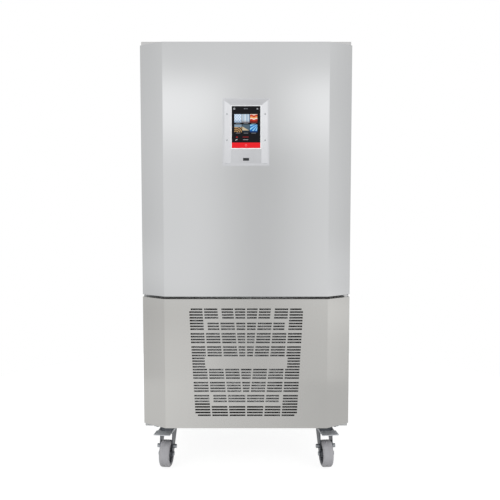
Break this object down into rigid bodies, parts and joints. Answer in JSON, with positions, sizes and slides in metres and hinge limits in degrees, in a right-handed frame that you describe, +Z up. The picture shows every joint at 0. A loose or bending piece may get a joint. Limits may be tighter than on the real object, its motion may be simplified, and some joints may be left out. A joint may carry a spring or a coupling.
{
  "type": "blast chiller",
  "caption": "Upright reach-in blast chiller with a chamfered insulated door, an inset touch panel, a slotted front service panel over the machine bay, and swivel casters.",
  "frame": {"origin": "on the floor, under the middle of the bounding box", "axes": "+Z up along the height, the door and the service panel face -Y, +X towards the hinge side"},
  "size_m": [0.79, 0.8, 1.64],
  "materials": {
    "cabinet_steel": "brushed",
    "door_steel": "brushed",
    "liner_steel": "satin",
    "frame_steel": "satin",
    "zinc": "satin",
    "foam": "matte",
    "black_plastic": "matte",
    "motor_black": "satin",
    "fin_aluminium": "satin",
    "copper": "satin",
    "shroud_grey": "matte",
    "box_grey": "satin",
    "gasket": "matte",
    "bezel_silver": "satin",
    "screen_glass": "gloss",
    "board": "matte",
    "wheel_core": "matte",
    "tyre": "matte"
  },
  "bodies": {
    "cabinet": {"base_frame": "frame_steel", "side_cover_left": "cabinet_steel", "side_cover_right": "cabinet_steel", "rear_grille": "cabinet_steel", "caster_plates": "zinc", "fasteners": "zinc", "cabinet_shell": "cabinet_steel", "cabinet_back": "cabinet_steel", "cabinet_foam": "foam", "cell_liner": "liner_steel", "mouth_frame": "liner_steel", "hinge_plates": "zinc", "panel_catches": "black_plastic", "rack_uprights": "liner_steel", "runners_left": "liner_steel", "runners_right": "liner_steel", "fan_panel": "liner_steel", "fan_guards": "zinc", "evaporator_motors": "motor_black", "evaporator_fins": "fin_aluminium", "evaporator_tubes": "copper", "drip_tray": "liner_steel", "condenser_fins": "fin_aluminium", "condenser_tubes": "copper", "condenser_shroud": "shroud_grey", "condenser_motor": "motor_black", "compressor": "motor_black", "liquid_receiver": "motor_black", "filter_drier": "copper", "refrigerant_pipes": "copper", "electrical_box": "box_grey", "electrical_cover": "box_grey", "mains_gland": "black_plastic"},
    "door": {"door_skin": "door_steel", "door_foam": "foam", "door_liner": "liner_steel", "door_gasket": "gasket", "control_bezel": "bezel_silver", "touch_screen": "screen_glass", "control_board": "board", "bezel_screws": "zinc"},
    "port_cover": {"port_cover": "black_plastic"},
    "service_panel": {"service_panel": "cabinet_steel"},
    "evaporator_fan_upper": {"evaporator_fan_upper": "black_plastic"},
    "evaporator_fan_lower": {"evaporator_fan_lower": "black_plastic"},
    "condenser_fan": {"condenser_fan": "black_plastic"},
    "caster_front_left": {"fork_front_left": "zinc"},
    "wheel_front_left": {"hub_front_left": "wheel_core", "tyre_front_left": "tyre"},
    "caster_front_right": {"fork_front_right": "zinc"},
    "wheel_front_right": {"hub_front_right": "wheel_core", "tyre_front_right": "tyre"},
    "caster_rear_left": {"fork_rear_left": "zinc"},
    "wheel_rear_left": {"hub_rear_left": "wheel_core", "tyre_rear_left": "tyre"},
    "caster_rear_right": {"fork_rear_right": "zinc"},
    "wheel_rear_right": {"hub_rear_right": "wheel_core", "tyre_rear_right": "tyre"},
    "brake_pedal_left": {"brake_pedal_left": "zinc"},
    "brake_pedal_right": {"brake_pedal_right": "zinc"}
  },
  "joints": [
    {"name": "door_hinge", "type": "hinge", "parent": "cabinet", "child": "door", "pos_m": [0.378, -0.333, 1.154], "axis": [0, 0, 1], "range_deg": [0, 110]},
    {"name": "service_panel_hinge", "type": "hinge", "parent": "cabinet", "child": "service_panel", "pos_m": [0.378, -0.333, 0.432], "axis": [0, 0, 1], "range_deg": [0, 90]},
    {"name": "port_cover_hinge", "type": "hinge", "parent": "door", "child": "port_cover", "pos_m": [0, -0.3963, 1.1925], "axis": [1, 0, 0], "range_deg": [0, 95]},
    {"name": "evaporator_fan_upper_spin", "type": "hinge", "parent": "cabinet", "child": "evaporator_fan_upper", "pos_m": [0, 0.165, 1.323], "axis": [0, 1, 0], "continuous": true},
    {"name": "evaporator_fan_lower_spin", "type": "hinge", "parent": "cabinet", "child": "evaporator_fan_lower", "pos_m": [0, 0.165, 0.987], "axis": [0, 1, 0], "continuous": true},
    {"name": "condenser_fan_spin", "type": "hinge", "parent": "cabinet", "child": "condenser_fan", "pos_m": [0, -0.144, 0.45], "axis": [0, 1, 0], "continuous": true},
    {"name": "caster_front_left_swivel", "type": "hinge", "parent": "cabinet", "child": "caster_front_left", "pos_m": [-0.309, -0.262, 0.145], "axis": [0, 0, 1], "continuous": true},
    {"name": "wheel_front_left_spin", "type": "hinge", "parent": "caster_front_left", "child": "wheel_front_left", "pos_m": [-0.31388, -0.3017, 0.052], "axis": [0.9925, -0.1219, 0], "continuous": true},
    {"name": "caster_front_right_swivel", "type": "hinge", "parent": "cabinet", "child": "caster_front_right", "pos_m": [0.309, -0.262, 0.145], "axis": [0, 0, 1], "continuous": true},
    {"name": "wheel_front_right_spin", "type": "hinge", "parent": "caster_front_right", "child": "wheel_front_right", "pos_m": [0.31388, -0.3017, 0.052], "axis": [0.9925, 0.1219, 0], "continuous": true},
    {"name": "caster_rear_left_swivel", "type": "hinge", "parent": "cabinet", "child": "caster_rear_left", "pos_m": [-0.309, 0.262, 0.145], "axis": [0, 0, 1], "continuous": true},
    {"name": "wheel_rear_left_spin", "type": "hinge", "parent": "caster_rear_left", "child": "wheel_rear_left", "pos_m": [-0.31732, 0.22287, 0.052], "axis": [0.9781, -0.2079, 0], "continuous": true},
    {"name": "caster_rear_right_swivel", "type": "hinge", "parent": "cabinet", "child": "caster_rear_right", "pos_m": [0.309, 0.262, 0.145], "axis": [0, 0, 1], "continuous": true},
    {"name": "wheel_rear_right_spin", "type": "hinge", "parent": "caster_rear_right", "child": "wheel_rear_right", "pos_m": [0.31732, 0.22287, 0.052], "axis": [0.9781, 0.2079, 0], "continuous": true},
    {"name": "brake_pedal_left_hinge", "type": "hinge", "parent": "caster_front_left", "child": "brake_pedal_left", "pos_m": [-0.31071, -0.2759, 0.1447], "axis": [0.9925, -0.1219, 0], "range_deg": [0, 12]},
    {"name": "brake_pedal_right_hinge", "type": "hinge", "parent": "caster_front_right", "child": "brake_pedal_right", "pos_m": [0.31071, -0.2759, 0.1447], "axis": [0.9925, 0.1219, 0], "range_deg": [0, 12]}
  ]
}
